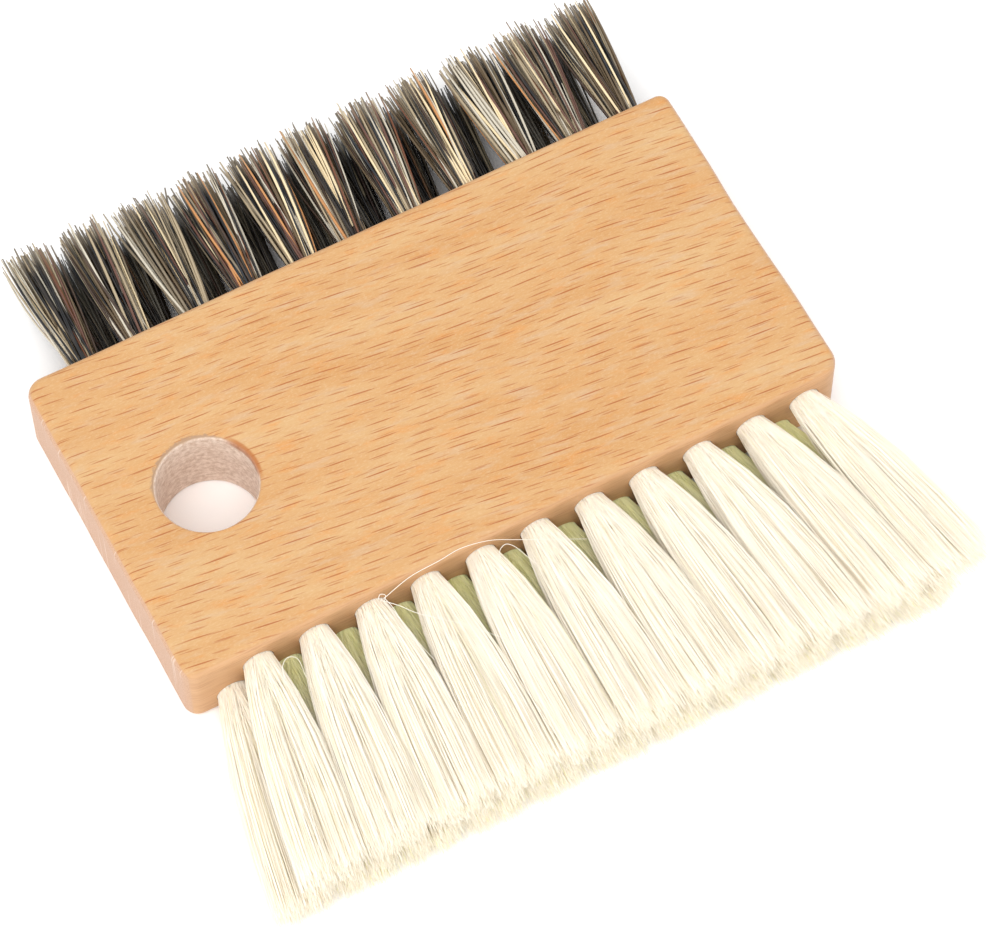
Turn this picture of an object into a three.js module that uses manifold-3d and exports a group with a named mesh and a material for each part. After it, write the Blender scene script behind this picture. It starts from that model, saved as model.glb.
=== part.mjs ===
// A small two-sided hand brush. A beech block carries soft light hair along one long edge and
// stiff dark bristle along the other, each set as two staggered rows of tufts in blind holes.
// A round hanging hole goes through the block near one end.
//
// Millimetres, +Z up. The origin is the centre of the block's underside.
// +X runs along the block, away from the hanging hole. The light hair is on the -Y edge.

import * as THREE from "three";
import { mergeVertices } from "three/addons/utils/BufferGeometryUtils.js";
import Module from "manifold-3d";

const wasm = await Module();
wasm.setup();

// The block.
const BLOCK_LENGTH = 90;
const BLOCK_WIDTH = 45.5;
const BLOCK_THICKNESS = 11.5;
const EDGE_EASING = 1.0;
const EASING_STEPS = 3;
const CORNER_STEPS = 5;
// Each corner as seen from above is sanded round by its own amount.
const CORNERS = [
  { x: 1, y: -1, radius: 2.8 },
  { x: 1, y: 1, radius: 1.5 },
  { x: -1, y: 1, radius: 2.6 },
  { x: -1, y: -1, radius: 2.0 },
];

// The hanging hole.
const HANG_HOLE_X = -31;
const HANG_HOLE_Y = -0.4;
const HANG_HOLE_RADIUS = 6.3;
const HANG_HOLE_EASING = 0.5;
const HANG_HOLE_SIDES = 32;
const RIM_STEPS = 2;

// The drilled tuft holes.
const TUFT_HOLE_RADIUS = 2.1;
const TUFT_HOLE_DEPTH = 8.6;
const DRILL_TIP = 1.2;
const TUFT_HOLE_SIDES = 12;
const UPPER_ROW_Z = 7.55;
const LOWER_ROW_Z = 2.95;

// The tufts. A tuft stops short of the bottom of its hole, where its anchor wire sits.
const ROOT_RADIUS = 1.78;
const ROOT_DEPTH = 7.6;
const ROOT_DOME = 0.6;
const DOME_REACH = 0.6;
const TUFT_SIDES = 10;
const NEIGHBOUR_GAP = 0.36;
const TIP_SQUARENESS = 3.2;

// How far a cutter runs past the face that it opens.
const OVERRUN = 1;

// One entry for each long edge. side is the edge's direction along Y. A tuft opens early where
// flare is large, and then runs straight beside its neighbours. fan is how much longer the row
// is at its tips than at its roots. stations are shares of the length that stands free.
// A row's tips fill the heights between tipLow and tipHigh. wander is how far each hole was
// drilled from its even place along the row, which the tips come back to.
const LIGHT_EDGE = {
  name: "light",
  side: -1,
  length: 29,
  pitch: 7.5,
  flare: 3.2,
  fan: 1.125,
  stations: [0, 0.15, 0.35, 0.65, 1],
  rows: [
    { name: "upper", count: 11, firstX: -35.45, z: UPPER_ROW_Z, tipLow: 6.5, tipHigh: 12.2 },
    { name: "lower", count: 11, firstX: -39.2, z: LOWER_ROW_Z, tipLow: 0.4, tipHigh: 6.1 },
  ],
  colour: 0xf4ecd4,
};
const DARK_EDGE = {
  name: "dark",
  side: 1,
  length: 17.5,
  pitch: 7.57,
  flare: 1.2,
  fan: 1.01,
  stations: [0, 0.35, 0.7, 1],
  rows: [
    {
      name: "upper",
      count: 11,
      firstX: -36,
      z: UPPER_ROW_Z,
      tipLow: 6.1,
      tipHigh: 11.4,
      wander: [-0.2, -0.6, 0.1, -0.2, -0.1, -0.7, -0.5, 0.2, 0.8, 0.3, 0.2],
    },
    {
      name: "lower",
      count: 10,
      firstX: -32.7,
      z: LOWER_ROW_Z,
      tipLow: 0.4,
      tipHigh: 5.7,
      wander: [0, -0.2, 0, -0.4, 0, -0.3, -0.4, 0.1, 0.8, 0.1],
    },
  ],
  colour: 0x4a4038,
};
const EDGES = [LIGHT_EDGE, DARK_EDGE];

function evenX(edge, row, index) {
  return row.firstX + index * edge.pitch;
}

function wanderX(row, index) {
  return row.wander ? row.wander[index] : 0;
}

function lerp(from, to, share) {
  return from + (to - from) * share;
}

// Booleans: a three.js geometry to a solid and back.
function toSolid(geometry) {
  const bare = geometry.clone();
  bare.deleteAttribute("normal");
  bare.deleteAttribute("uv");
  const merged = mergeVertices(bare, 1e-4);
  const vertProperties = new Float32Array(merged.getAttribute("position").array);
  const triVerts = new Uint32Array(merged.getIndex().array);
  return new wasm.Manifold(new wasm.Mesh({ numProp: 3, vertProperties, triVerts }));
}

function toGeometry(solid) {
  const mesh = solid.getMesh();
  const geometry = new THREE.BufferGeometry();
  geometry.setAttribute("position", new THREE.BufferAttribute(mesh.vertProperties, 3));
  geometry.setIndex(new THREE.BufferAttribute(mesh.triVerts, 1));
  geometry.computeVertexNormals();
  return geometry;
}

// The block's outline from above, drawn in by the edge easing, which the bevel adds back.
function blockOutline() {
  const outline = new THREE.Shape();
  CORNERS.forEach((corner) => {
    const centreX = corner.x * (BLOCK_LENGTH / 2 - corner.radius);
    const centreY = corner.y * (BLOCK_WIDTH / 2 - corner.radius);
    const middle = Math.atan2(corner.y, corner.x);
    const radius = corner.radius - EDGE_EASING;
    outline.absarc(centreX, centreY, radius, middle - Math.PI / 4, middle + Math.PI / 4, false);
  });
  outline.closePath();
  return outline;
}

function plainBlock() {
  const geometry = new THREE.ExtrudeGeometry(blockOutline(), {
    depth: BLOCK_THICKNESS - 2 * EDGE_EASING,
    curveSegments: CORNER_STEPS,
    bevelEnabled: true,
    bevelSegments: EASING_STEPS,
    bevelSize: EDGE_EASING,
    bevelThickness: EDGE_EASING,
  });
  return geometry.translate(0, 0, EDGE_EASING);
}

// The hanging hole's cutter: a drum that widens in a quarter round at each face of the block.
function hangHoleCutter() {
  const mouth = HANG_HOLE_RADIUS + HANG_HOLE_EASING;
  const rim = Array.from({ length: RIM_STEPS + 1 }, (_, i) => {
    const turn = (i / RIM_STEPS) * (Math.PI / 2);
    const radius = mouth - HANG_HOLE_EASING * Math.sin(turn);
    const height = HANG_HOLE_EASING * (1 - Math.cos(turn));
    return new THREE.Vector2(radius, height);
  });
  const upperRim = rim.map((p) => new THREE.Vector2(p.x, BLOCK_THICKNESS - p.y)).reverse();
  const profile = [
    new THREE.Vector2(0, -OVERRUN),
    new THREE.Vector2(mouth, -OVERRUN),
    ...rim,
    ...upperRim,
    new THREE.Vector2(mouth, BLOCK_THICKNESS + OVERRUN),
    new THREE.Vector2(0, BLOCK_THICKNESS + OVERRUN),
  ];
  const geometry = new THREE.LatheGeometry(profile, HANG_HOLE_SIDES);
  geometry.rotateX(Math.PI / 2);
  geometry.translate(HANG_HOLE_X, HANG_HOLE_Y, 0);
  return geometry;
}

// One blind hole's cutter, with the drill's pointed end, going into the edge at x and z.
function tuftHoleCutter(side, x, z) {
  const profile = [
    new THREE.Vector2(0, -TUFT_HOLE_DEPTH - DRILL_TIP),
    new THREE.Vector2(TUFT_HOLE_RADIUS, -TUFT_HOLE_DEPTH),
    new THREE.Vector2(TUFT_HOLE_RADIUS, OVERRUN),
    new THREE.Vector2(0, OVERRUN),
  ];
  const geometry = new THREE.LatheGeometry(profile, TUFT_HOLE_SIDES);
  if (side < 0) geometry.rotateX(Math.PI);
  geometry.translate(x, (side * BLOCK_WIDTH) / 2, z);
  return geometry;
}

function handleBlock() {
  const cutters = [hangHoleCutter()];
  EDGES.forEach((edge) => {
    edge.rows.forEach((row) => {
      for (let index = 0; index < row.count; index += 1) {
        const x = evenX(edge, row, index) + wanderX(row, index);
        cutters.push(tuftHoleCutter(edge.side, x, row.z));
      }
    });
  });
  const solid = cutters.reduce((block, cutter) => block.subtract(toSolid(cutter)), toSolid(plainBlock()));
  return toGeometry(solid);
}

// A tuft's cross-section at a share of its free length: a circle at the root, which opens
// towards the rounded oblong that the tuft fills at its tip.
function tuftSection(edge, row, index, share) {
  const opened = 1 - (1 - share) ** edge.flare;
  const spread = lerp(1, edge.fan, share);
  const widest = (edge.pitch * spread - NEIGHBOUR_GAP) / 2;
  const bottom = lerp(row.z - ROOT_RADIUS, row.tipLow, opened);
  const top = lerp(row.z + ROOT_RADIUS, row.tipHigh, opened);
  return {
    x: evenX(edge, row, index) * spread + wanderX(row, index) * (1 - share),
    z: (bottom + top) / 2,
    halfX: lerp(ROOT_RADIUS, widest, opened),
    halfZ: (top - bottom) / 2,
    power: 2 / lerp(2, TIP_SQUARENESS, opened),
  };
}

// A point on a section's rim at a direction, drawn in by reach, which is 1 on the rim itself.
function sectionPoint(section, cos, sin, reach) {
  const x = Math.sign(cos) * Math.abs(cos) ** section.power;
  const z = Math.sign(sin) * Math.abs(sin) ** section.power;
  return {
    x: section.x + reach * section.halfX * x,
    z: section.z + reach * section.halfZ * z,
  };
}

// A tuft: a closed cylinder whose rings are moved to the tuft's sections. The first two rings
// are the domed fold inside the hole, and the rest are the stations from the mouth to the tip.
function tuft(edge, row, index) {
  const rings = [
    { share: 0, out: -ROOT_DEPTH, reach: DOME_REACH },
    { share: 0, out: -ROOT_DEPTH + ROOT_DOME, reach: 1 },
    ...edge.stations.map((share) => ({ share, out: share * edge.length, reach: 1 })),
  ];
  const spans = rings.length - 1;
  const geometry = new THREE.CylinderGeometry(1, 1, 1, TUFT_SIDES, spans);
  const position = geometry.getAttribute("position");
  for (let i = 0; i < position.count; i += 1) {
    const ring = rings[Math.round((position.getY(i) + 0.5) * spans)];
    const section = tuftSection(edge, row, index, ring.share);
    const onAxis = Math.hypot(position.getX(i), position.getZ(i)) < 0.5;
    const cos = position.getX(i);
    const sin = edge.side * position.getZ(i);
    const point = sectionPoint(section, cos, sin, onAxis ? 0 : ring.reach);
    position.setXYZ(i, point.x, edge.side * (BLOCK_WIDTH / 2 + ring.out), point.z);
  }
  geometry.computeVertexNormals();
  return geometry;
}

function woodMaterial() {
  return new THREE.MeshStandardMaterial({ color: 0xe6bd8a, roughness: 0.6, metalness: 0 });
}

function hairMaterial(edge) {
  return new THREE.MeshStandardMaterial({ color: edge.colour, roughness: 0.7, metalness: 0 });
}

function namedMesh(name, geometry, material) {
  const mesh = new THREE.Mesh(geometry, material);
  mesh.name = name;
  return mesh;
}

const brush = new THREE.Group();
brush.add(namedMesh("handle_block", handleBlock(), woodMaterial()));
EDGES.forEach((edge) => {
  edge.rows.forEach((row) => {
    for (let index = 0; index < row.count; index += 1) {
      const number = String(index + 1).padStart(2, "0");
      const name = `${edge.name}_${row.name}_tuft_${number}`;
      brush.add(namedMesh(name, tuft(edge, row, index), hairMaterial(edge)));
    }
  });
});

export default brush;
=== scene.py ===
"""Looks of a small two-sided hand brush: a beech block with soft light hair along one long edge
and stiff dark bristle along the other. Metres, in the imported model's frame: +Z up, the origin at
the centre of the block's underside, +X away from the hanging hole, the light hair towards -Y."""

import math

import bpy
import numpy as np
from mathutils import Matrix, Vector


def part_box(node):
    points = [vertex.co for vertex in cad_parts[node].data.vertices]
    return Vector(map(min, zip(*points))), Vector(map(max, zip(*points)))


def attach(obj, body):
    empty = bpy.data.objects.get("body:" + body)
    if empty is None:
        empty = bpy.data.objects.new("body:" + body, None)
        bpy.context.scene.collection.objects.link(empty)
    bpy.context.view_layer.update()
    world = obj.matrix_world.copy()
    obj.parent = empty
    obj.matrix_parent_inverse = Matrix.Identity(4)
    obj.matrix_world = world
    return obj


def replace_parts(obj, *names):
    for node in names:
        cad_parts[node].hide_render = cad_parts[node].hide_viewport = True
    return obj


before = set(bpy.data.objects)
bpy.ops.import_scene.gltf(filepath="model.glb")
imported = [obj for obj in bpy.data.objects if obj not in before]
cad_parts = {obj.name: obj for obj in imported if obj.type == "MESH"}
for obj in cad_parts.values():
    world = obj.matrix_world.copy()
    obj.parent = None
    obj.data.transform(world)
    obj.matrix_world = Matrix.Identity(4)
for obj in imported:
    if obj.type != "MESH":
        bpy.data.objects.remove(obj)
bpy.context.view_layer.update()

MM = 0.001
BODY = "root"

# The block, read from its CAD node.
_, BLOCK_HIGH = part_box("handle_block")
HALF_LENGTH = BLOCK_HIGH.x
HALF_WIDTH = BLOCK_HIGH.y
THICKNESS = BLOCK_HIGH.z
EDGE_EASING = 1.0 * MM
EASING_STEPS = 5
# A narrow flat border beside the eased edges, as a share of the easing, keeps the faces flat.
FLAT_BORDER = 0.3
OUTLINE_STEP = 1.5 * MM
# Each corner as seen from above: its direction from the centre and its radius.
CORNERS = ((1, -1, 2.8 * MM), (1, 1, 1.5 * MM), (-1, 1, 2.6 * MM), (-1, -1, 2.0 * MM))
CORNER_STEPS = 8
# Sanding leaves the outline a little uneven, in a long wave and a short one, and the end away from
# the hole a little hollow.
SANDING = 0.06 * MM
SANDING_WAVES = (6.1 * MM, 2.7 * MM)
SANDING_PHASE = 0.4
END_HOLLOW = 0.22 * MM
END_HOLLOW_Y = 3 * MM
END_HOLLOW_REACH = 9 * MM

# The holes.
HANG_HOLE = Vector((-31, -0.4, 0)) * MM
HANG_HOLE_RADIUS = 6.3 * MM
HANG_HOLE_EASING = 0.5 * MM
HANG_HOLE_SIDES = 96
RIM_STEPS = 4
TUFT_HOLE_RADIUS = 2.1 * MM
TUFT_HOLE_DEPTH = 8.6 * MM
DRILL_TIP = 1.2 * MM
TUFT_HOLE_SIDES = 32
OVERRUN = 1 * MM

# The anchor wires, one across the bottom of each tuft hole.
ANCHOR_HALF_WIDTH = 1.95 * MM
ANCHOR_RADIUS = 0.28 * MM
ANCHOR_DEPTH = 8.1 * MM
ANCHOR_SIDES = 10

# Faces that meet at more than this angle keep a sharp edge between them.
SHARP_EDGE = math.radians(35)
WIRE_SHARP_EDGE = math.radians(50)

# How a tuft fills its hole's mouth, which its strands crowd right up to.
MOUTH_RADIUS = 2.04 * MM
# The share of a strand's free length over which it gets to its full thickness.
ROOT_REACH = 0.3

# The two kinds of strand. stations are shares of the free length. A tuft opens early where flare
# is large. squareness makes its tip an oblong. crossing is how far a strand's tip drifts from its
# place, and spill and rise are how far the tips stand out past the CAD tip along the row and in
# height. A strand's radius lies between the two given. It is root_share of that at the root, and
# falls to tip_share of it from taper_from on. length and length_spread are shares of the CAD
# length, and short_share of the strands are shorter, down to shortest. bend is the usual bow, which
# wild_share of the strands have wildness times over. clumping is the share of the strands that take
# their tone from one of the clumps.
LIGHT_HAIR = {
    "slot": "light_hair",
    "word": "hair",
    "count": 2900,
    "sides": 3,
    "stations": (0, 0.08, 0.22, 0.45, 0.72, 1),
    "flare": {"upper": 2.8, "lower": 2.8},
    "squareness": 3.2,
    "crossing": 0.3,
    "spill": 0.5 * MM,
    "rise": 0.4 * MM,
    "radius": (0.042 * MM, 0.055 * MM),
    "root_share": 0.75,
    "tip_share": 0.6,
    "taper_from": 0.55,
    "length": 0.995,
    "length_spread": 0.02,
    "short_share": 0.25,
    "shortest": 0.86,
    "bend": 0.22 * MM,
    "wild_share": 0.06,
    "wildness": 4.5,
    "clumps": 60,
    "clumping": 0.12,
}
DARK_BRISTLE = {
    "slot": "dark_bristle",
    "word": "bristle",
    "count": 145,
    "sides": 8,
    "stations": (0, 0.12, 0.25, 0.4, 0.55, 0.7, 0.85, 1),
    "flare": {"upper": 1.5, "lower": 1.0},
    "squareness": 2.5,
    "crossing": 0.25,
    "spill": 0.3 * MM,
    "rise": 0.2 * MM,
    "radius": (0.1 * MM, 0.2 * MM),
    "root_share": 1.0,
    "tip_share": 0.5,
    "taper_from": 0.65,
    "length": 0.98,
    "length_spread": 0.03,
    "short_share": 0.12,
    "shortest": 0.8,
    "bend": 0.3 * MM,
    "wild_share": 0.06,
    "wildness": 3.5,
    "clumps": 26,
    "clumping": 0.5,
}
# The form of a strand's bend: how its bow grows, its waves and their height beside the bow's, and
# how much of the bow it has up and down.
BOW_POWER = 1.6
WAVES = 5
WAVE_SHARE = 0.35
BEND_FLATTENING = 0.7
# No strand's centre line comes nearer the floor than this.
LOWEST_STRAND = 0.25 * MM
# Each strand is turned round its own line by its tone times this, so that neighbours differ.
TURN_BY_TONE = 40
# The strands' scatter round an even spiral, how far crossing strands reach, and how tips thin out.
SPIRAL_SCATTER = 0.2
CROSSING_REACH = 1.4
TAPER_POWER = 1.5
# The fold inside the hole: how much it is domed, and the share of the free length it counts as.
FOLD_DOME = 0.5 * MM
FOLD_SHARE = -0.25
# How far from a tuft's middle its clumps lie, and how much tones differ inside a clump.
CLUMP_SPREAD = 0.5
CLUMP_SCATTER = 0.02

# Hairs that have come out of line, as points in millimetres that each one passes through.
STRAY_HAIRS = (
    ((-19.3, -24.2, 11.7), (-15.2, -23.2, 11.9), (-11.2, -23.0, 12.0), (-8.1, -22.8, 12.1),
     (-4.6, -23.6, 12.3), (-1.4, -25.2, 12.3), (5.9, -28.7, 11.8)),
    ((-19.6, -24.0, 11.7), (-19.3, -26.0, 12.0), (-19.1, -28.6, 11.9), (-18.4, -31.9, 11.8),
     (-18.0, -34.2, 11.4)),
    ((-19.2, -24.1, 11.8), (-18.9, -26.2, 12.1), (-18.8, -28.8, 12.0), (-18.2, -31.7, 11.7),
     (-17.6, -33.9, 11.2)),
    ((-19.5, -24.5, 11.9), (-18.1, -26.2, 12.2), (-16.5, -28.3, 12.3), (-12.4, -32.0, 12.1),
     (-8.6, -36.1, 11.6)),
    ((-20.0, -24.1, 11.8), (-19.5, -23.7, 12.1), (-19.0, -24.1, 12.2), (-19.4, -24.6, 12.0),
     (-19.8, -24.2, 11.8)),
    ((-34.2, -27.6, 10.6), (-33.9, -26.4, 11.4), (-32.9, -25.8, 11.9), (-31.9, -26.6, 11.9),
     (-32.0, -28.8, 11.2)),
    ((-4.4, -25.8, 10.9), (-4.0, -25.0, 11.6), (-3.1, -24.8, 12.0), (-2.3, -25.6, 12.0),
     (-1.7, -27.1, 11.9), (-1.0, -28.8, 11.6)),
    ((-39.4, -23.6, 4.0), (-40.6, -26.2, 6.0), (-43.6, -30.6, 8.0), (-47.6, -37.0, 8.8),
     (-50.6, -43.6, 8.8), (-52.4, -48.8, 9.0)),
    ((39.0, -22.0, 8.6), (40.4, -27.0, 8.8), (42.2, -33.6, 9.0), (44.8, -39.2, 9.0),
     (48.3, -45.1, 9.0), (51.1, -50.0, 9.0)),
    ((42.8, -40.3, 8.0), (44.2, -43.4, 8.0), (45.9, -46.6, 8.0), (48.4, -51.0, 8.0)),
    ((42.4, -39.4, 6.4), (44.4, -43.6, 6.2), (46.6, -47.6, 6.2), (48.0, -51.6, 6.2)),
)
STRAY_RADIUS = 0.042 * MM
STRAY_SIDES = 6
STRAY_POINTS = 40

# The camera: where it looks from, where it looks at, and its lens.
CAMERA_AZIMUTH = math.radians(-27.61)
CAMERA_ELEVATION = math.radians(62.48)
CAMERA_ROLL = math.radians(-0.5)
CAMERA_DISTANCE = 547.86 * MM
CAMERA_TARGET = Vector((2.34, -13.07, 8.0)) * MM
CAMERA_LENS_MM = 161.76

# The wood's grain runs a little askew of the block. The drill scorched one side of the hole's rim
# and frayed another.
GRAIN_TILT = math.radians(5.5)
SCORCH_ANGLE = math.radians(12)
FRAY_ANGLE = math.radians(110)
# The ray flecks: the gap between rows, the step along a row and half a fleck's width, in
# millimetres, and a number that sets their random places apart.
STRONG_FLECKS = (1.12, 5.6, 0.1, 1)
WEAK_FLECKS = (1.31, 4.2, 0.075, 2)
# The relief of the wood's surface, and the shares of it that its features have.
GRAIN_RELIEF = 0.06 * MM
FIBRE_HEIGHT = 0.35
FLECK_DEPTH = 0.3
WALL_HEIGHT = 3.0

# The studio: a white sky, and a large soft lamp high on the camera's side.
SKY_STRENGTH = 1.06
KEY_PLACE = (-0.3, -0.34, 0.8)
KEY_SIZE = 0.8
KEY_POWER = 5.4
FLOOR_SIZE = 4
BOUNCES = 24

# Each strand has its own cell in this UV map, CELL_ASPECT times as tall as it is wide, with a margin
# that is a share of the cell.
STRAND_MAP = "OFBake"
CELL_ASPECT = 8
CELL_MARGIN = 0.08
GOLDEN_ANGLE = math.pi * (3 - math.sqrt(5))


def lerp(start, end, share):
    return start + (end - start) * share


def tint(red, green, blue):
    """A display colour, each channel from 0 to 255, as the linear colour that a shader takes."""
    def linear(channel):
        value = channel / 255
        return value / 12.92 if value <= 0.04045 else ((value + 0.055) / 1.055) ** 2.4
    return (linear(red), linear(green), linear(blue), 1.0)


def mixed(first, second, share):
    return tuple(lerp(a, b, share) for a, b in zip(first, second))


# ---------------------------------------------------------------- camera, lights and floor


def make_camera():
    flat = math.cos(CAMERA_ELEVATION)
    back = Vector((
        math.sin(CAMERA_AZIMUTH) * flat,
        -math.cos(CAMERA_AZIMUTH) * flat,
        math.sin(CAMERA_ELEVATION),
    ))
    level_right = Vector((math.cos(CAMERA_AZIMUTH), math.sin(CAMERA_AZIMUTH), 0))
    level_up = back.cross(level_right)
    right = math.cos(CAMERA_ROLL) * level_right + math.sin(CAMERA_ROLL) * level_up
    up = back.cross(right)
    data = bpy.data.cameras.new("camera")
    data.lens = CAMERA_LENS_MM
    data.clip_start = 0.01
    camera = bpy.data.objects.new("camera", data)
    turn = Matrix((right, up, back)).transposed().to_4x4()
    camera.matrix_world = Matrix.Translation(CAMERA_TARGET + CAMERA_DISTANCE * back) @ turn
    bpy.context.scene.collection.objects.link(camera)
    bpy.context.scene.camera = camera


def add_area_light(name, place, aim, size, power):
    data = bpy.data.lights.new(name, "AREA")
    data.shape = "DISK"
    data.size = size
    data.energy = power
    light = bpy.data.objects.new(name, data)
    light.location = place
    light.rotation_euler = (Vector(aim) - Vector(place)).to_track_quat("-Z", "Y").to_euler()
    bpy.context.scene.collection.objects.link(light)


def make_studio():
    world = bpy.data.worlds.new("studio")
    world.use_nodes = True
    background = world.node_tree.nodes["Background"]
    background.inputs["Color"].default_value = (1, 1, 1, 1)
    background.inputs["Strength"].default_value = SKY_STRENGTH
    scene = bpy.context.scene
    scene.world = world
    scene.view_settings.view_transform = "Standard"
    # Light finds its way out of the pale hair only after many bounces.
    scene.cycles.max_bounces = BOUNCES
    scene.cycles.diffuse_bounces = BOUNCES
    add_area_light("key_light", KEY_PLACE, (0, 0, 0), KEY_SIZE, KEY_POWER)

    bpy.ops.mesh.primitive_plane_add(size=FLOOR_SIZE, location=(0, 0, 0))
    floor = bpy.context.object
    floor.name = "floor"
    material, tree, shader = new_material("pale_floor")
    shader.inputs["Base Color"].default_value = (0.97, 0.97, 0.97, 1)
    shader.inputs["Roughness"].default_value = 0.9
    floor.data.materials.append(material)


# ---------------------------------------------------------------- material helpers


def new_material(name):
    material = bpy.data.materials.new(name)
    material.use_nodes = True
    tree = material.node_tree
    return material, tree, tree.nodes["Principled BSDF"]


def plug(tree, value, socket):
    """Gives a socket its value, which is a number, a colour or another node's output."""
    if isinstance(value, bpy.types.NodeSocket):
        tree.links.new(value, socket)
    else:
        socket.default_value = value


def add(tree, kind, inputs=None, **settings):
    node = tree.nodes.new("ShaderNode" + kind)
    for name, value in settings.items():
        setattr(node, name, value)
    for name, value in (inputs or {}).items():
        plug(tree, value, node.inputs[name])
    return node


def maths(tree, operation, first, second=0.0):
    return add(tree, "Math", {0: first, 1: second}, operation=operation).outputs[0]


def vector_maths(tree, operation, first, second):
    return add(tree, "VectorMath", {0: first, 1: second}, operation=operation).outputs[0]


def mix(tree, share, first, second):
    """Mixes two colours. A colour is four numbers or an output."""
    inputs = {0: share, 6: first, 7: second}
    return add(tree, "Mix", inputs, data_type="RGBA").outputs[2]


def rise(tree, value, low, high):
    """0 where value is under low, 1 where it is over high, and smooth between."""
    inputs = {"Value": value, "From Min": low, "From Max": high}
    return add(tree, "MapRange", inputs, interpolation_type="SMOOTHSTEP").outputs[0]


def share_of(tree, value, low, high, most):
    """Rises from 0 to most as value goes from low to high."""
    return maths(tree, "MULTIPLY", rise(tree, value, low, high), most)


def noise(tree, place, detail=3.0, roughness=0.5):
    inputs = {"Vector": place, "Scale": 1.0, "Detail": detail, "Roughness": roughness}
    return add(tree, "TexNoise", inputs).outputs[0]


def stretched(tree, place, size, shift=0.0):
    """Coordinates in which a feature of this size, three lengths in millimetres, is one unit."""
    scale = tuple(1 / length for length in size)
    inputs = {"Vector": place, "Location": (shift, shift, shift), "Scale": scale}
    return add(tree, "Mapping", inputs).outputs[0]


def ramp(tree, value, stops, interpolation="LINEAR"):
    node = add(tree, "ValToRGB", {"Fac": value})
    elements = node.color_ramp.elements
    node.color_ramp.interpolation = interpolation
    while len(elements) < len(stops):
        elements.new(0.5)
    for element, (position, colour) in zip(elements, sorted(stops)):
        element.position = position
        element.color = colour
    return node.outputs[0]


def attribute(tree, name):
    return add(tree, "Attribute", attribute_name=name).outputs["Fac"]


def bump(tree, height, distance):
    return add(tree, "Bump", {"Height": height, "Distance": distance, "Strength": 1.0}).outputs[0]


def lerp_socket(tree, share, start, end):
    """start where share is 0, end where it is 1."""
    return add(tree, "MapRange", {"Value": share, "To Min": start, "To Max": end}).outputs[0]


def in_millimetres(tree):
    metres = add(tree, "TexCoord").outputs["Object"]
    return vector_maths(tree, "MULTIPLY", metres, (1 / MM,) * 3)


def split(tree, vector):
    return add(tree, "SeparateXYZ", {0: vector}).outputs


def joined(tree, x=0.0, y=0.0, z=0.0):
    return add(tree, "CombineXYZ", {0: x, 1: y, 2: z}).outputs[0]


def both(tree, first, second):
    return maths(tree, "MULTIPLY", first, second)


# ---------------------------------------------------------------- materials


def ray_flecks(tree, place, row_gap, step, half_width, seed):
    """1 on the thin dashes that the wood's rays leave on a flat face, 0 between them. They lie in
    rows along the grain, and each row is broken into steps that hold one dash of their own
    length and place."""
    x, y, _ = split(tree, place)
    across = maths(tree, "DIVIDE", y, row_gap)
    row = maths(tree, "FLOOR", across)
    row_chance = add(tree, "TexWhiteNoise", {"Vector": joined(tree, row, seed)}).outputs["Value"]
    row_shift = maths(tree, "MULTIPLY", row_chance, 20)
    along = maths(tree, "ADD", maths(tree, "DIVIDE", x, step), row_shift)
    cell = joined(tree, maths(tree, "FLOOR", along), row, seed)
    chance = add(tree, "TexWhiteNoise", {"Vector": cell}).outputs["Color"]
    chance = add(tree, "SeparateColor", {0: chance}).outputs

    middle = lerp_socket(tree, chance[0], 0.42, 0.58)
    half_length = lerp_socket(tree, chance[1], 0.18, 0.47)
    row_line = lerp_socket(tree, row_chance, 0.3, 0.6)
    line = maths(tree, "ADD", row_line, maths(tree, "MULTIPLY", chance[2], 0.12))
    from_middle = maths(tree, "ABSOLUTE", maths(tree, "SUBTRACT", maths(tree, "FRACT", along), middle))
    share = maths(tree, "DIVIDE", from_middle, half_length)
    width = maths(tree, "MULTIPLY", maths(tree, "SUBTRACT", 1.0, both(tree, share, share)), half_width)
    from_line = maths(tree, "ABSOLUTE", maths(tree, "SUBTRACT", maths(tree, "FRACT", across), line))
    inside = maths(tree, "SUBTRACT", width, maths(tree, "MULTIPLY", from_line, row_gap))
    return both(tree, rise(tree, inside, -0.02, 0.05), lerp_socket(tree, chance[1], 0.5, 1.0))


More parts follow.
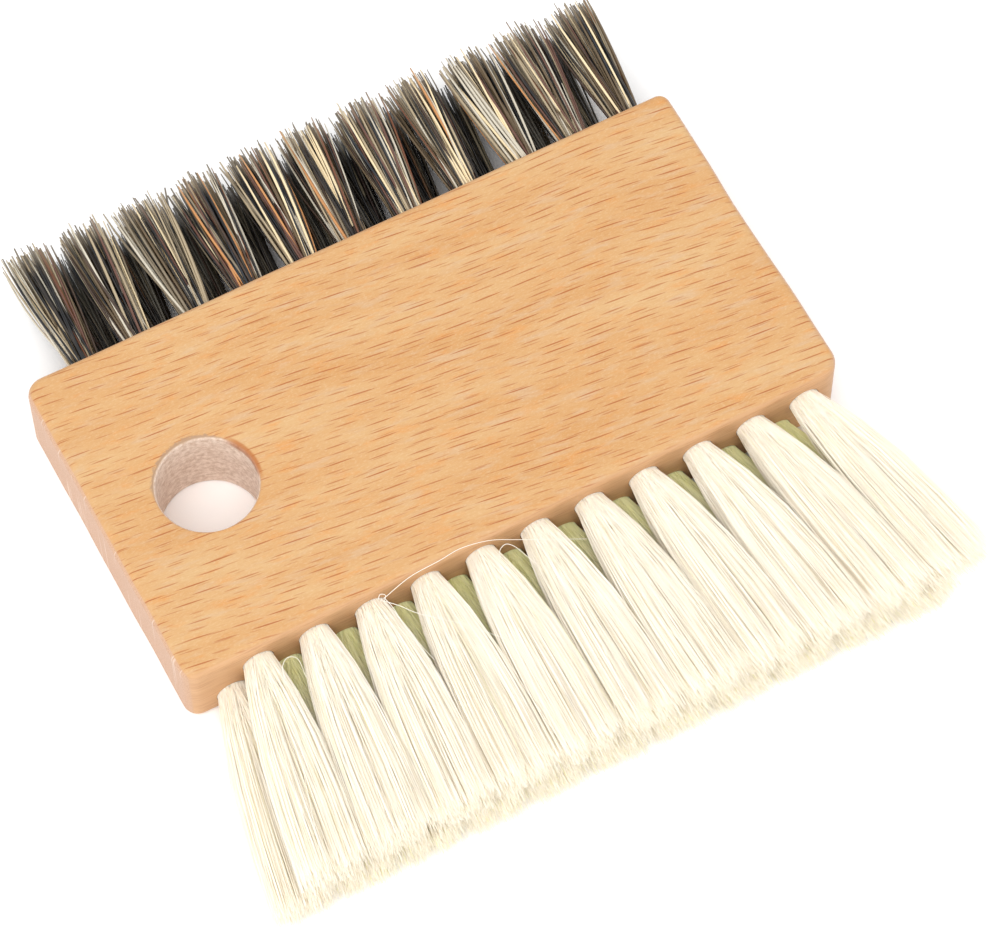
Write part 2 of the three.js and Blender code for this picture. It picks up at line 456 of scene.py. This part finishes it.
def flat_grain(tree, square):
    """The colour of the long faces, and where the flecks lie on them."""
    sway = noise(tree, stretched(tree, square, (42, 30, 30)), detail=1.0)
    tilted = add(tree, "Mapping", {"Vector": square, "Rotation": (0, 0, GRAIN_TILT)}).outputs[0]
    place = vector_maths(tree, "ADD", tilted, joined(tree, y=maths(tree, "MULTIPLY", sway, 4.0)))

    clouds = noise(tree, stretched(tree, place, (24, 4, 14)), detail=3.0)
    ground = ramp(tree, clouds, (
        (0.25, tint(200, 164, 117)),
        (0.50, tint(196, 152, 102)),
        (0.75, tint(191, 142, 89)),
    ))
    warm = noise(tree, stretched(tree, place, (4.5, 1.5, 4), 11), detail=3.0, roughness=0.65)
    ground = mix(tree, share_of(tree, warm, 0.5, 0.76, 0.6), ground, tint(204, 139, 74))
    grey = noise(tree, stretched(tree, place, (7, 1.6, 6), 23), detail=3.0, roughness=0.65)
    ground = mix(tree, share_of(tree, grey, 0.5, 0.72, 0.6), ground, tint(194, 164, 132))
    fibre = noise(tree, stretched(tree, place, (2.2, 0.14, 0.5)), detail=3.0, roughness=0.6)
    ground = mix(tree, share_of(tree, fibre, 0.42, 0.75, 0.3), ground, tint(176, 124, 78))
    grains = noise(tree, stretched(tree, square, (0.5, 0.2, 0.24), 5), detail=2.0, roughness=0.7)
    ground = mix(tree, share_of(tree, grains, 0.45, 0.8, 0.4), ground, tint(214, 184, 146))

    strong = ray_flecks(tree, place, *STRONG_FLECKS)
    weak = ray_flecks(tree, vector_maths(tree, "ADD", place, (1.7, 0.43, 0)), *WEAK_FLECKS)
    flecks = maths(tree, "MAXIMUM", strong, maths(tree, "MULTIPLY", weak, 0.65))
    colour = mix(tree, maths(tree, "MULTIPLY", flecks, 0.9), ground, tint(162, 92, 46))
    return colour, flecks, fibre


def end_grain(tree, square):
    """The colour of the two end faces: pinkish, with thin pale lines through the thickness."""
    pores = noise(tree, stretched(tree, square, (0.3, 0.14, 0.14)), detail=2.0)
    ground = mix(tree, rise(tree, pores, 0.35, 0.7), tint(200, 164, 138), tint(182, 142, 116))
    lines = noise(tree, stretched(tree, square, (30, 0.36, 18), 3), detail=1.0)
    return mix(tree, share_of(tree, lines, 0.62, 0.72, 0.7), ground, tint(218, 197, 180))


def towards(tree, arm, distance, angle):
    """The cosine of the angle between an arm in the XY plane and a direction in it."""
    inputs = {0: arm, 1: (math.cos(angle), math.sin(angle), 0)}
    product = add(tree, "VectorMath", inputs, operation="DOT_PRODUCT").outputs["Value"]
    return maths(tree, "DIVIDE", product, distance)


def hole_colour(tree, square, colour):
    """The colour of the hanging hole and round it, and the roughness of its wall. The wall is
    drilled rough and greyer, and frays over one side of the rim. Over the rounded rim, further
    out where it frays, its colour darkens as painted shade. Another side is scorched."""
    x, y, z = split(tree, vector_maths(tree, "SUBTRACT", square, tuple(HANG_HOLE / MM)))
    arm = joined(tree, x, y)
    distance = add(tree, "VectorMath", {0: arm}, operation="LENGTH").outputs["Value"]
    past = maths(tree, "SUBTRACT", distance, HANG_HOLE_RADIUS / MM)

    fluff = noise(tree, stretched(tree, square, (0.7, 0.7, 0.5)), detail=5.0, roughness=0.75)
    ragged = maths(tree, "ADD", maths(tree, "MULTIPLY", maths(tree, "SUBTRACT", fluff, 0.5), 1.6), 0.4)
    fray = rise(tree, towards(tree, arm, distance, FRAY_ANGLE), 0.3, 0.9)
    limit = maths(tree, "ADD", both(tree, fray, ragged), 0.05)
    wall = maths(tree, "SUBTRACT", 1.0, rise(tree, maths(tree, "SUBTRACT", past, limit), -0.05, 0.3))
    inside = mix(tree, rise(tree, fluff, 0.3, 0.7), tint(200, 174, 154), tint(246, 230, 216))
    # Painted shade: over the rounded rim the wall's colour darkens.
    wall_and_rim_shade = mix(tree, rise(tree, past, 0.0, 0.3), inside, tint(160, 130, 104))
    colour = mix(tree, maths(tree, "MULTIPLY", wall, 0.9), colour, wall_and_rim_shade)

    ring = maths(tree, "SUBTRACT", rise(tree, past, -0.25, 0.05), rise(tree, past, 0.4, 0.75))
    top = rise(tree, z, THICKNESS / MM - 1.2, THICKNESS / MM - 0.6)
    burnt = rise(tree, towards(tree, arm, distance, SCORCH_ANGLE), 0.8, 0.97)
    scorch = both(tree, both(tree, ring, burnt), top)
    colour = mix(tree, maths(tree, "MULTIPLY", scorch, 0.8), colour, tint(164, 96, 44))
    return colour, both(tree, rise(tree, maths(tree, "SUBTRACT", 0.3, past), 0, 0.3), fluff)


def beech_material():
    """Beech: a pale tan ground with warmer and greyer clouds. Rays show as dark dashes on the top
    and underside and as pale lines on the end grain. The long narrow faces are redder and
    darker, partly their own colour and partly painted shade."""
    material, tree, shader = new_material("beech_wood")
    square = in_millimetres(tree)
    colour, flecks, fibre = flat_grain(tree, square)

    facing = add(tree, "VectorMath", {0: add(tree, "TexCoord").outputs["Normal"]}, operation="ABSOLUTE")
    facing_x, facing_y, facing_z = split(tree, facing.outputs[0])
    upright = rise(tree, facing_y, 0.58, 0.78)
    layers = noise(tree, stretched(tree, square, (14, 9, 1.6), 31), detail=3.0)
    lines = noise(tree, stretched(tree, square, (3.5, 1, 0.13), 37), detail=3.0, roughness=0.6)
    # The long narrow faces: their own redder colour, darkened further as painted shade.
    narrow = mix(tree, layers, tint(214, 172, 132), tint(192, 146, 102))
    narrow = mix(tree, share_of(tree, lines, 0.45, 0.7, 0.45), narrow, tint(166, 116, 78))
    colour = mix(tree, upright, colour, narrow)
    flecks = both(tree, flecks, rise(tree, facing_z, 0.4, 0.9))
    colour = mix(tree, rise(tree, facing_x, 0.58, 0.74), colour, end_grain(tree, square))
    widest = maths(tree, "MAXIMUM", maths(tree, "MAXIMUM", facing_x, facing_y), facing_z)
    eased = maths(tree, "SUBTRACT", 1.0, rise(tree, widest, 0.8, 0.98))
    colour = mix(tree, maths(tree, "MULTIPLY", eased, 0.25), colour, tint(192, 152, 116))

    colour, rough_wall = hole_colour(tree, square, colour)
    plug(tree, colour, shader.inputs["Base Color"])

    plug(tree, lerp_socket(tree, flecks, 0.55, 0.42), shader.inputs["Roughness"])
    height = maths(tree, "MULTIPLY", fibre, FIBRE_HEIGHT)
    height = maths(tree, "ADD", height, maths(tree, "MULTIPLY", rough_wall, WALL_HEIGHT))
    height = maths(tree, "SUBTRACT", height, maths(tree, "MULTIPLY", flecks, FLECK_DEPTH))
    plug(tree, bump(tree, height, GRAIN_RELIEF), shader.inputs["Normal"])
    shader.inputs["Specular IOR Level"].default_value = 0.3
    return material


def light_hair_material(name, pale, yellower_and_shade, painted_root_shade):
    """Soft undyed hair: near white, with a few yellower and greyer hairs. Where it leaves the block,
    painted_root_shade mixes in the yellower_and_shade colour as painted shade."""
    material, tree, shader = new_material(name)
    tone = attribute(tree, "tone")
    along = attribute(tree, "along")
    hairs = ramp(tree, tone, (
        (0.0, yellower_and_shade),
        (0.03, mixed(yellower_and_shade, pale, 0.4)),
        (0.1, mixed(yellower_and_shade, pale, 0.9)),
        (0.3, pale),
    ))
    # Painted shade over the first half of each strand, strongest at the root.
    painted_shade_near_root = maths(tree, "SUBTRACT", 1.0, rise(tree, along, 0.0, 0.5))
    colour = mix(tree, maths(tree, "MULTIPLY", painted_shade_near_root, painted_root_shade), hairs, yellower_and_shade)
    patches = noise(tree, stretched(tree, in_millimetres(tree), (0.9, 9, 0.9)), detail=2.0)
    colour = mix(tree, share_of(tree, patches, 0.5, 0.8, 0.15), colour, mixed(yellower_and_shade, pale, 0.5))
    colour = mix(tree, share_of(tree, along, 0.85, 1.0, 0.25), colour, tint(251, 248, 240))
    plug(tree, colour, shader.inputs["Base Color"])
    shader.inputs["Roughness"].default_value = 0.6
    shader.inputs["Specular IOR Level"].default_value = 0.1
    return material


# The bristle's colours, each with the share of the strands that has it.
BRISTLE_COLOURS = (
    (0.14, tint(14, 14, 17)),
    (0.10, tint(27, 32, 40)),
    (0.11, tint(30, 23, 18)),
    (0.08, tint(60, 44, 33)),
    (0.07, tint(94, 78, 56)),
    (0.03, tint(96, 64, 52)),
    (0.02, tint(110, 66, 42)),
    (0.03, tint(190, 134, 82)),
    (0.11, tint(128, 116, 96)),
    (0.13, tint(168, 152, 124)),
    (0.11, tint(200, 192, 174)),
    (0.07, tint(232, 212, 172)),
)


def dark_bristle_material(name, shade):
    """Stiff mixed bristle: black, brown, grey and straw-coloured strands, paler at their tips.
    shade is painted shade: it mixes the row that lies behind the other towards near-black."""
    material, tree, shader = new_material(name)
    tone = attribute(tree, "tone")
    along = attribute(tree, "along")
    shares = [share for share, _ in BRISTLE_COLOURS]
    starts = [sum(shares[:index]) for index in range(len(shares))]
    stops = tuple((start, colour) for start, (_, colour) in zip(starts, BRISTLE_COLOURS))
    colour = ramp(tree, tone, stops, "CONSTANT")
    streaks = noise(tree, stretched(tree, in_millimetres(tree), (0.25, 3.5, 0.25)), detail=3.0)
    colour = mix(tree, share_of(tree, streaks, 0.5, 0.8, 0.2), colour, tint(140, 120, 92))
    colour = mix(tree, share_of(tree, along, 0.75, 1.0, 0.3), colour, tint(196, 176, 144))
    # Painted shade towards near-black, as much as shade.
    colour = mix(tree, shade, colour, tint(20, 17, 15))
    plug(tree, colour, shader.inputs["Base Color"])
    shader.inputs["Roughness"].default_value = 0.28
    shader.inputs["Specular IOR Level"].default_value = 0.55
    return material


def wire_material():
    """Drawn steel wire, dull, with fine marks along it."""
    material, tree, shader = new_material("anchor_wire")
    marks = noise(tree, stretched(tree, in_millimetres(tree), (2.0, 0.05, 0.05)), detail=3.0)
    plug(tree, mix(tree, marks, tint(150, 150, 152), tint(196, 196, 198)), shader.inputs["Base Color"])
    shader.inputs["Metallic"].default_value = 1.0
    shader.inputs["Roughness"].default_value = 0.35
    return material


# ---------------------------------------------------------------- meshes


def new_piece(name, mesh, material):
    piece = bpy.data.objects.new(name, mesh)
    bpy.context.scene.collection.objects.link(piece)
    mesh.materials.append(material)
    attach(piece, BODY)
    return piece


def scratch_object(name, mesh):
    scratch = bpy.data.objects.new(name, mesh)
    bpy.context.scene.collection.objects.link(scratch)
    return scratch


def ring_faces(rings, sides):
    """The quads between rings of points that follow each other, and the two end faces."""
    quads = [
        (ring * sides + side, ring * sides + (side + 1) % sides,
         (ring + 1) * sides + (side + 1) % sides, (ring + 1) * sides + side)
        for ring in range(rings - 1) for side in range(sides)
    ]
    first = tuple(reversed(range(sides)))
    last = tuple(range((rings - 1) * sides, rings * sides))
    return quads, [first, last]


def outline_points():
    """The block's outline from above, counter-clockwise, with each point's outward direction."""
    points = []
    for corner_x, corner_y, radius in CORNERS:
        centre = Vector((corner_x * (HALF_LENGTH - radius), corner_y * (HALF_WIDTH - radius)))
        middle = math.atan2(corner_y, corner_x)
        middle = math.pi / 4 * round(middle / (math.pi / 4))
        for step in range(CORNER_STEPS + 1):
            angle = middle - math.pi / 4 + math.pi / 2 * step / CORNER_STEPS
            out = Vector((math.cos(angle), math.sin(angle)))
            points.append((centre + radius * out, out))
    dense = []
    for (start, out), (end, next_out) in zip(points, points[1:] + points[:1]):
        steps = max(1, round((end - start).length / OUTLINE_STEP))
        dense += [(start.lerp(end, i / steps), out.lerp(next_out, i / steps)) for i in range(steps)]
    return dense


def sanded(point, out):
    """An outline point, moved by the unevenness that sanding leaves. The waves count along X and Y
    together, so that they run on all four sides."""
    along = point.x + 1.7 * point.y
    long_wave, short_wave = SANDING_WAVES
    wave = math.sin(along / long_wave + SANDING_PHASE)
    wave += 0.6 * math.sin(along / short_wave + 2 * SANDING_PHASE)
    moved = point - out * SANDING * (1 + 0.5 * wave)
    if out.x > 0.9:
        moved.x -= END_HOLLOW * math.exp(-(((point.y - END_HOLLOW_Y) / END_HOLLOW_REACH) ** 2))
    return moved


def plain_block():
    outline = [(sanded(point, out), out) for point, out in outline_points()]
    quarter = [math.pi / 2 * step / EASING_STEPS for step in range(EASING_STEPS + 1)]
    lower = [(1 - math.sin(turn), 1 - math.cos(turn)) for turn in quarter]
    lower = [(1 + FLAT_BORDER, 0), *lower, (0, 1 + FLAT_BORDER)]
    upper = [(inset, THICKNESS / EDGE_EASING - height) for inset, height in reversed(lower)]
    vertices = []
    for inset, height in lower + upper:
        for point, out in outline:
            inner = point - out * inset * EDGE_EASING
            vertices.append((inner.x, inner.y, height * EDGE_EASING))
    quads, ends = ring_faces(len(lower + upper), len(outline))
    mesh = bpy.data.meshes.new("handle_block")
    mesh.from_pydata(vertices, [], quads + ends)
    return mesh


def turned(profile, sides, place):
    """A closed body turned round an axis. profile holds (radius, height) pairs from one end of
    the axis to the other, and place turns and moves the body from the Z axis."""
    rings = [pair for pair in profile if pair[0] > 0]
    vertices = [
        place @ Vector((radius * math.cos(angle), radius * math.sin(angle), height))
        for radius, height in rings
        for angle in (2 * math.pi * side / sides for side in range(sides))
    ]
    quads, (first, last) = ring_faces(len(rings), sides)
    faces = list(quads)
    for cap, (radius, height) in ((first, profile[0]), (last, profile[-1])):
        if radius > 0:
            faces.append(cap)
            continue
        vertices.append(place @ Vector((0, 0, height)))
        tip = len(vertices) - 1
        faces += [(cap[i], cap[(i + 1) % sides], tip) for i in range(sides)]
    return vertices, faces


def merged_mesh(name, bodies):
    vertices, faces = [], []
    for body_vertices, body_faces in bodies:
        first = len(vertices)
        vertices += body_vertices
        faces += [tuple(first + index for index in face) for face in body_faces]
    mesh = bpy.data.meshes.new(name)
    mesh.from_pydata(vertices, [], faces)
    return mesh


def hang_hole_body():
    mouth = HANG_HOLE_RADIUS + HANG_HOLE_EASING
    turns = [math.pi / 2 * step / RIM_STEPS for step in range(RIM_STEPS + 1)]
    rim = [(mouth - HANG_HOLE_EASING * math.sin(t), HANG_HOLE_EASING * (1 - math.cos(t))) for t in turns]
    upper = [(radius, THICKNESS - height) for radius, height in reversed(rim)]
    profile = [(mouth, -OVERRUN), *rim, *upper, (mouth, THICKNESS + OVERRUN)]
    return turned(profile, HANG_HOLE_SIDES, Matrix.Translation(HANG_HOLE))


def edge_axis(tuft):
    """Turns +Z to the way out of the block's edge at a tuft's hole, and moves to its mouth."""
    turn = Matrix.Rotation(-tuft["side"] * math.pi / 2, 4, "X")
    mouth = Vector((tuft["root_x"], tuft["side"] * HALF_WIDTH, tuft["root_z"]))
    return Matrix.Translation(mouth) @ turn


def tuft_hole_body(tuft):
    profile = [
        (0, -TUFT_HOLE_DEPTH - DRILL_TIP),
        (TUFT_HOLE_RADIUS, -TUFT_HOLE_DEPTH),
        (TUFT_HOLE_RADIUS, OVERRUN),
    ]
    return turned(profile, TUFT_HOLE_SIDES, edge_axis(tuft))


def cut(mesh, cutter_mesh):
    """The mesh with the cutter's bodies taken out of it."""
    block = scratch_object("uncut_block", mesh)
    cutter = scratch_object("hole_cutter", cutter_mesh)
    modifier = block.modifiers.new("holes", "BOOLEAN")
    modifier.operation = "DIFFERENCE"
    modifier.solver = "EXACT"
    modifier.object = cutter
    graph = bpy.context.evaluated_depsgraph_get()
    result = bpy.data.meshes.new_from_object(block.evaluated_get(graph), depsgraph=graph)
    bpy.data.objects.remove(block)
    bpy.data.objects.remove(cutter)
    return result


def make_block(tufts, material):
    cutters = [hang_hole_body()] + [tuft_hole_body(tuft) for tuft in tufts]
    mesh = cut(plain_block(), merged_mesh("hole_cutter", cutters))
    mesh.shade_smooth()
    mesh.set_sharp_from_angle(angle=SHARP_EDGE)
    block = new_piece("beech_block", mesh, material)
    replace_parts(block, "handle_block")


# ---------------------------------------------------------------- tufts


def read_tuft(name):
    """A tuft's hole and tip as its CAD node has them."""
    points = np.array([vertex.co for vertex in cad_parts[name].data.vertices])
    side = 1 if points[:, 1].mean() > 0 else -1
    out = side * points[:, 1] - HALF_WIDTH
    close = 0.05 * MM
    mouth = points[np.abs(out) < close]
    tip = points[out > out.max() - close]
    return {
        "name": name,
        "row": "upper" if "upper" in name else "lower",
        "side": side,
        "depth": -out.min(),
        "length": out.max(),
        "root_x": (mouth[:, 0].min() + mouth[:, 0].max()) / 2,
        "root_z": (mouth[:, 2].min() + mouth[:, 2].max()) / 2,
        "root_radius": (mouth[:, 0].max() - mouth[:, 0].min()) / 2,
        "tip_x": (tip[:, 0].min() + tip[:, 0].max()) / 2,
        "tip_z": (tip[:, 2].min() + tip[:, 2].max()) / 2,
        "tip_half_x": (tip[:, 0].max() - tip[:, 0].min()) / 2,
        "tip_half_z": (tip[:, 2].max() - tip[:, 2].min()) / 2,
    }


def oblong(places, squareness):
    """Moves places in a unit disc out to fill a unit rounded oblong."""
    reach = np.linalg.norm(places, axis=1, keepdims=True)
    heading = places / np.maximum(reach, 1e-9)
    return reach * np.sign(heading) * np.abs(heading) ** (2 / squareness)


def strand_places(kind, rng):
    """Each strand's place in the unit disc at the root and at the tip. Most strands keep their
    place, but all drift a little towards another strand's, so that they cross."""
    count = kind["count"]
    order = np.arange(count)
    reach = np.sqrt((order + rng.random(count)) / count)
    angle = order * GOLDEN_ANGLE + rng.normal(0, SPIRAL_SCATTER, count)
    root = reach[:, None] * np.stack((np.cos(angle), np.sin(angle)), axis=1)
    drift = kind["crossing"]
    tip = (1 - drift) * root + CROSSING_REACH * drift * root[rng.permutation(count)]
    tip /= np.maximum(np.linalg.norm(tip, axis=1, keepdims=True), 1)
    return root, tip


def strand_lines(tuft, kind, rng):
    """The centre lines of a tuft's strands, as an array of strands, stations and coordinates, with
    the share of the free length at each station, which is under 0 inside the hole."""
    count = kind["count"]
    root, tip = strand_places(kind, rng)
    length = kind["length"] + rng.normal(0, kind["length_spread"], count)
    short = rng.random(count) < kind["short_share"]
    length = np.where(short, rng.uniform(kind["shortest"], 1, count), length)
    share = length[:, None] * np.array(kind["stations"])[None, :]
    opened = 1 - np.clip(1 - share, 0, 1) ** kind["flare"][tuft["row"]]

    mouth = MOUTH_RADIUS - kind["radius"][1]
    tip = oblong(tip, kind["squareness"])
    tip = tip * (tuft["tip_half_x"] + kind["spill"], tuft["tip_half_z"] + kind["rise"])
    x = lerp(tuft["root_x"], tuft["tip_x"], share)
    x = x + lerp(mouth * root[:, :1], tip[:, :1], opened)
    z = lerp(tuft["root_z"], tuft["tip_z"], opened)
    z = z + lerp(mouth * root[:, 1:], tip[:, 1:], opened)

    # Each strand bows to one side and waves a little, most at its tip.
    wild = np.where(rng.random(count) < kind["wild_share"], kind["wildness"], 1.0)
    bend = kind["bend"] * wild * rng.normal(0, 1, count)
    heading = rng.random(count) * 2 * np.pi
    phase = rng.random(count) * 2 * np.pi
    bow = bend[:, None] * share ** BOW_POWER
    wave = WAVE_SHARE * bend[:, None] * share * np.sin(WAVES * share + phase[:, None])
    x = x + bow * np.cos(heading)[:, None] + wave * np.sin(heading)[:, None]
    z = z + bow * np.sin(heading)[:, None] * BEND_FLATTENING + wave * np.cos(heading)[:, None]
    z = np.maximum(z, LOWEST_STRAND)
    y = tuft["side"] * (HALF_WIDTH + share * tuft["length"])

    # Inside the hole the strands draw in a little towards the fold over the anchor wire.
    inner = (tuft["root_radius"] - kind["radius"][1]) * root
    deep = tuft["depth"] - FOLD_DOME * (root ** 2).sum(axis=1)
    fold_y = tuft["side"] * (HALF_WIDTH - deep)
    fold = np.stack((tuft["root_x"] + inner[:, 0], fold_y, tuft["root_z"] + inner[:, 1]), axis=-1)
    lines = np.concatenate((fold[:, None, :], np.stack((x, y, z), axis=-1)), axis=1)
    share = np.concatenate((np.full((count, 1), FOLD_SHARE), share), axis=1)
    return lines, share, strand_tones(kind, root, rng)


def strand_tones(kind, places, rng):
    """Each strand's tone, from 0 to 1. Some strands share the tone of the clump they stand in."""
    count = kind["count"]
    centres = rng.normal(0, CLUMP_SPREAD, (kind["clumps"], 2))
    clump_tones = rng.random(kind["clumps"])
    gaps = np.linalg.norm(places[:, None, :] - centres[None, :, :], axis=2)
    shared = clump_tones[gaps.argmin(axis=1)] + rng.normal(0, CLUMP_SCATTER, count)
    own = rng.random(count)
    tones = np.where(rng.random(count) < kind["clumping"], shared, own)
    return np.clip(tones, 0, 1)


def strand_radii(kind, stations, count, rng):
    """Each strand's radius at each station, thinner where it is packed into its hole and over the
    last of its length."""
    thick = rng.uniform(*kind["radius"], count)
    past = np.clip((stations - kind["taper_from"]) / (1 - kind["taper_from"]), 0, 1)
    packed = lerp(kind["root_share"], 1.0, np.clip(stations / ROOT_REACH, 0, 1))
    return thick[:, None] * (packed * lerp(1.0, kind["tip_share"], past ** TAPER_POWER))[None, :]


def strand_mesh(name, lines, radii, along, tone, sides):
    """A mesh of closed tapered tubes along the lines. It keeps each point's place along its strand
    and each strand's tone, and gives each strand its own cell of the UV map."""
    count, rings, _ = lines.shape
    forward = np.gradient(lines, axis=1)
    forward /= np.linalg.norm(forward, axis=2, keepdims=True)
    across = np.cross(forward, (0.0, 0.0, 1.0))
    across /= np.linalg.norm(across, axis=2, keepdims=True)
    over = np.cross(across, forward)
    turn = np.arange(sides) * 2 * np.pi / sides
    turn = turn[None, :] + (tone * TURN_BY_TONE)[:, None]
    cos = np.cos(turn)[:, None, :, None]
    sin = np.sin(turn)[:, None, :, None]
    ring = across[:, :, None, :] * cos + over[:, :, None, :] * sin
    points = lines[:, :, None, :] + radii[:, :, None, None] * ring

    quads, caps = ring_faces(rings, sides)
    quads = np.array(quads)
    per_strand = rings * sides
    offsets = (np.arange(count) * per_strand)[:, None, None]
    all_quads = (quads[None] + offsets).reshape(-1, 4)
    all_caps = (np.array(caps)[None] + offsets).reshape(-1, sides)
    mesh = bpy.data.meshes.new(name)
    mesh.from_pydata(points.reshape(-1, 3), [], all_quads.tolist() + all_caps.tolist())
    # Smooth shading would lose light round the sharp corners of a three-sided strand.
    if sides > 3:
        mesh.shade_smooth()

    spread = np.repeat(along.reshape(-1), sides)
    mesh.attributes.new("along", "FLOAT", "POINT").data.foreach_set("value", spread.astype(np.float32))
    tones = np.repeat(tone, per_strand)
    mesh.attributes.new("tone", "FLOAT", "POINT").data.foreach_set("value", tones.astype(np.float32))
    lay_out_strands(mesh, count, rings, sides)
    return mesh


def lay_out_strands(mesh, count, rings, sides):
    """One narrow upright cell of the UV map for each strand: round the strand goes across the
    cell, and along it goes up. The end faces take a point of the cell each."""
    columns = math.ceil(math.sqrt(count * CELL_ASPECT))
    rows = math.ceil(count / columns)
    side = np.arange(sides)
    left = np.tile(side, rings - 1)
    low = np.repeat(np.arange(rings - 1), sides)
    across = np.stack((left, left + 1, left + 1, left), axis=1) / sides
    up = np.stack((low, low, low + 1, low + 1), axis=1) / (rings - 1)
    cell = np.arange(count)
    column = (cell % columns)[:, None, None]
    row = (cell // columns)[:, None, None]
    u = (column + lerp(CELL_MARGIN, 1 - CELL_MARGIN, across)[None]) / columns
    v = (row + lerp(CELL_MARGIN, 1 - CELL_MARGIN, up)[None]) / rows
    quad_map = np.stack((u, v), axis=-1).reshape(-1, 2)
    cap_u = np.broadcast_to((column + 0.5) / columns, (count, 2, sides))
    cap_v = (row + np.array((CELL_MARGIN, 1 - CELL_MARGIN))[None, :, None]) / rows
    cap_v = np.broadcast_to(cap_v, (count, 2, sides))
    cap_map = np.stack((cap_u, cap_v), axis=-1).reshape(-1, 2)
    layer = mesh.uv_layers.new(name=STRAND_MAP)
    layer.data.foreach_set("uv", np.concatenate((quad_map, cap_map)).astype(np.float32).ravel())


def make_tuft(tuft, kind, material, seed):
    rng = np.random.default_rng(seed)
    lines, along, tones = strand_lines(tuft, kind, rng)
    stations = np.array((0.0,) + kind["stations"])
    radii = strand_radii(kind, stations, kind["count"], rng)
    name = tuft["name"].replace("tuft", kind["word"])
    mesh = strand_mesh(name, lines, radii, along, tones, kind["sides"])
    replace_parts(new_piece(name, mesh, material), tuft["name"])


def smooth_line(points, count):
    """A smooth line through the points, as count evenly numbered places along it."""
    points = np.array(points) * MM
    padded = np.concatenate((2 * points[:1] - points[1:2], points, 2 * points[-1:] - points[-2:-1]))
    places = np.linspace(0, len(points) - 1, count)
    first = np.minimum(places.astype(int), len(points) - 2)
    t = (places - first)[:, None]
    before, start, end, after = (padded[first + step] for step in range(4))
    slope = (end - before) / 2
    next_slope = (after - start) / 2
    return (
        (2 * t ** 3 - 3 * t ** 2 + 1) * start + (t ** 3 - 2 * t ** 2 + t) * slope
        + (3 * t ** 2 - 2 * t ** 3) * end + (t ** 3 - t ** 2) * next_slope
    )


def make_stray_hairs(material):
    lines = np.stack([smooth_line(points, STRAY_POINTS) for points in STRAY_HAIRS])
    count = len(STRAY_HAIRS)
    along = np.tile(np.linspace(0.5, 1, STRAY_POINTS), (count, 1))
    radii = np.tile(STRAY_RADIUS * np.linspace(1, 0.6, STRAY_POINTS), (count, 1))
    tones = np.linspace(0.2, 0.9, count)
    mesh = strand_mesh("stray_hairs", lines, radii, along, tones, STRAY_SIDES)
    new_piece("stray_hairs", mesh, material)


def make_anchors(row_name, tufts, material):
    """The wires of one row: a short length lies across the bottom of each hole."""
    half = ANCHOR_HALF_WIDTH
    ease = ANCHOR_RADIUS / 3
    profile = [
        (ANCHOR_RADIUS - ease, -half), (ANCHOR_RADIUS, ease - half),
        (ANCHOR_RADIUS, half - ease), (ANCHOR_RADIUS - ease, half),
    ]
    bodies = []
    for tuft in tufts:
        across = Matrix.Translation((0, 0, -ANCHOR_DEPTH)) @ Matrix.Rotation(math.pi / 2, 4, "Y")
        bodies.append(turned(profile, ANCHOR_SIDES, edge_axis(tuft) @ across))
    mesh = merged_mesh(row_name, bodies)
    mesh.shade_smooth()
    mesh.set_sharp_from_angle(angle=WIRE_SHARP_EDGE)
    new_piece(row_name, mesh, material)


# ---------------------------------------------------------------- the brush


def make_materials():
    cream = tint(247, 242, 231)
    return {
        "light_upper": light_hair_material("light_hair_upper", cream, tint(238, 234, 204), 0.04),
        # The lower row of hair takes olive painted shade near its roots, where the upper row shades it.
        "light_lower": light_hair_material("light_hair_lower_painted_shade", cream, tint(235, 237, 166), 0.7),
        "dark_upper": dark_bristle_material("dark_bristle_upper", 0.0),
        # The lower row of bristle is painted near-black as painted shade, for it lies behind the upper
        # row.
        "dark_lower": dark_bristle_material("dark_bristle_lower_painted_shade", 0.85),
    }


def make_brush():
    rows = {}
    for name in sorted(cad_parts):
        if "_tuft_" in name:
            rows.setdefault(name.split("_tuft_")[0], []).append(read_tuft(name))
    make_block([tuft for row in rows.values() for tuft in row], beech_material())

    materials = make_materials()
    wire = wire_material()
    for seed, (row_name, row) in enumerate(sorted(rows.items())):
        kind = LIGHT_HAIR if row_name.startswith("light") else DARK_BRISTLE
        for index, tuft in enumerate(row):
            # The lower row's first tuft stands out past the upper row, in the open, so it takes the
            # upper row's material, without the lower row's painted shade.
            open_end = row_name == "light_lower" and index == 0
            material = materials["light_upper" if open_end else row_name]
            make_tuft(tuft, kind, material, 100 * seed + index)
        make_anchors(row_name + "_anchors", row, wire)
    make_stray_hairs(materials["light_upper"])


make_camera()
make_studio()
make_brush()
